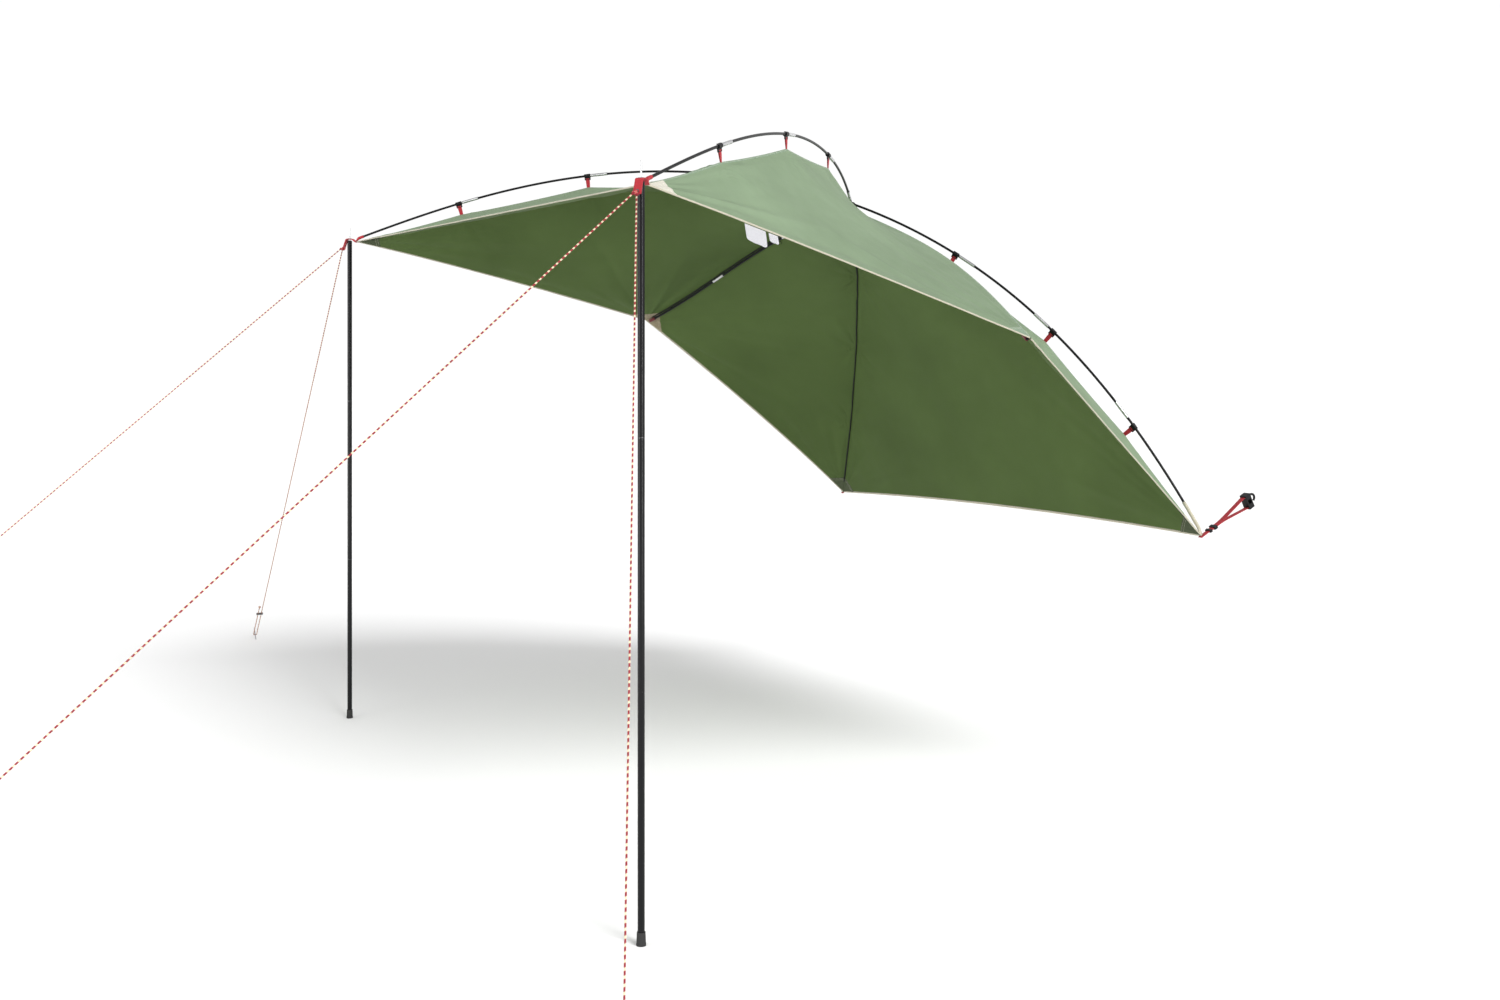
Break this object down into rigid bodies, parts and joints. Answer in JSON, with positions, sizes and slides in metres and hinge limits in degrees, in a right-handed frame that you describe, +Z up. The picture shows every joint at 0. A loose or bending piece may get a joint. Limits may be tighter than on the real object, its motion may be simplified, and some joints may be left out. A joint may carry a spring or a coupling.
{
  "type": "vehicle tarp shelter",
  "caption": "Domed fabric canopy on crossed flexible rods, held up by front uprights with guy lines and tied at the rear to a vehicle by hooked straps.",
  "frame": {"origin": "midway between the two vehicle hooks at the rear; the ground lies 1.02 m below", "axes": "+X to the right seen from the front, +Y back towards the vehicle, +Z up"},
  "size_m": [5.9866, 4.7776, 2.3495],
  "materials": {
    "canopy_cloth": "coated ripstop",
    "beige_tape": "woven",
    "dark_tape": "woven",
    "cream_cloth": "woven",
    "red_webbing": "woven",
    "black_cord": "braided",
    "fibreglass": "smooth",
    "bare_steel": "bright",
    "dark_metal": "dull",
    "black_plastic": "moulded",
    "black_paint": "gloss",
    "plain_aluminium": "plain",
    "rubber": "moulded",
    "white_cloth": "satin",
    "red_line": "braided with pale flecks",
    "grey_plastic": "moulded"
  },
  "bodies": {
    "shelter": {"front_panel": "canopy_cloth", "right_front_panel": "canopy_cloth", "right_rear_panel": "canopy_cloth", "rear_panel": "canopy_cloth", "left_rear_panel": "canopy_cloth", "left_front_panel": "canopy_cloth", "edge_binding": "beige_tape", "seam_bindings": "dark_tape", "corner_patches": "cream_cloth", "apex_patch": "canopy_cloth", "rod_ties": "black_cord", "rod_pockets": "beige_tape", "left_front_webbing": "red_webbing", "right_front_webbing": "red_webbing", "front_eyelets": "dark_metal", "tab_eyelets": "dark_metal", "rear_webbing": "red_webbing", "strap_keepers": "black_plastic", "side_corner_loops": "red_webbing", "arch_rod_left": "fibreglass", "arch_rod_right": "fibreglass", "cross_rod": "fibreglass", "rod_ferrules": "bare_steel", "rod_tips": "black_plastic", "rod_hooks": "black_plastic", "hook_tabs": "red_webbing", "left_vehicle_strap": "red_webbing", "right_vehicle_strap": "red_webbing", "left_vehicle_hook": "black_plastic", "right_vehicle_hook": "black_plastic", "left_front_guy": "red_line", "left_side_guy": "red_line", "right_front_guy": "red_line", "right_side_guy": "red_line", "guy_pegs": "bare_steel"},
    "left_upright": {"left_tube_lower": "black_paint", "left_tube_middle": "black_paint", "left_tube_upper": "black_paint", "left_spigots": "plain_aluminium", "left_top_plug": "black_plastic", "left_spike": "bare_steel", "left_foot": "rubber"},
    "right_upright": {"right_tube_lower": "black_paint", "right_tube_middle": "black_paint", "right_tube_upper": "black_paint", "right_spigots": "plain_aluminium", "right_top_plug": "black_plastic", "right_spike": "bare_steel", "right_foot": "rubber"},
    "large_label": {"large_label": "white_cloth"},
    "small_label": {"small_label": "white_cloth"},
    "left_slider": {"left_strap_slider": "black_plastic"},
    "right_slider": {"right_strap_slider": "black_plastic"},
    "left_front_tensioner": {"left_front_tensioner": "grey_plastic"},
    "left_side_tensioner": {"left_side_tensioner": "grey_plastic"},
    "right_front_tensioner": {"right_front_tensioner": "grey_plastic"},
    "right_side_tensioner": {"right_side_tensioner": "grey_plastic"}
  },
  "joints": [
    {"name": "left_upright_swing", "type": "hinge", "parent": "shelter", "child": "left_upright", "pos_m": [-1.43, -2.485, 0.974], "axis": [1, 0, 0], "range_deg": [-15, 15]},
    {"name": "right_upright_swing", "type": "hinge", "parent": "shelter", "child": "right_upright", "pos_m": [1.43, -2.485, 0.974], "axis": [1, 0, 0], "range_deg": [-15, 15]},
    {"name": "large_label_flap", "type": "hinge", "parent": "shelter", "child": "large_label", "pos_m": [1.38955, -2.1236, 0.8618], "axis": [-0.0476, 0.9578, -0.2834], "range_deg": [-60, 60]},
    {"name": "small_label_flap", "type": "hinge", "parent": "shelter", "child": "small_label", "pos_m": [1.38666, -2.06518, 0.84456], "axis": [-0.0476, 0.9578, -0.2834], "range_deg": [-60, 60]},
    {"name": "left_slider_slide", "type": "slide", "parent": "shelter", "child": "left_slider", "axis": [0, 0.8266, 0.5628], "range_m": [-0.01, 0.025]},
    {"name": "right_slider_slide", "type": "slide", "parent": "shelter", "child": "right_slider", "axis": [0, 0.8906, 0.4548], "range_m": [-0.01, 0.025]},
    {"name": "left_front_tensioner_slide", "type": "slide", "parent": "shelter", "child": "left_front_tensioner", "axis": [0.007, -0.7547, -0.656], "range_m": [-0.04, 0.04]},
    {"name": "left_side_tensioner_slide", "type": "slide", "parent": "shelter", "child": "left_side_tensioner", "axis": [-0.7147, 0.0226, -0.6991], "range_m": [-0.04, 0.04]},
    {"name": "right_front_tensioner_slide", "type": "slide", "parent": "shelter", "child": "right_front_tensioner", "axis": [-0.0071, -0.7473, -0.6645], "range_m": [-0.04, 0.04]},
    {"name": "right_side_tensioner_slide", "type": "slide", "parent": "shelter", "child": "right_side_tensioner", "axis": [0.4639, -0.2287, -0.8559], "range_m": [-0.04, 0.04]}
  ]
}
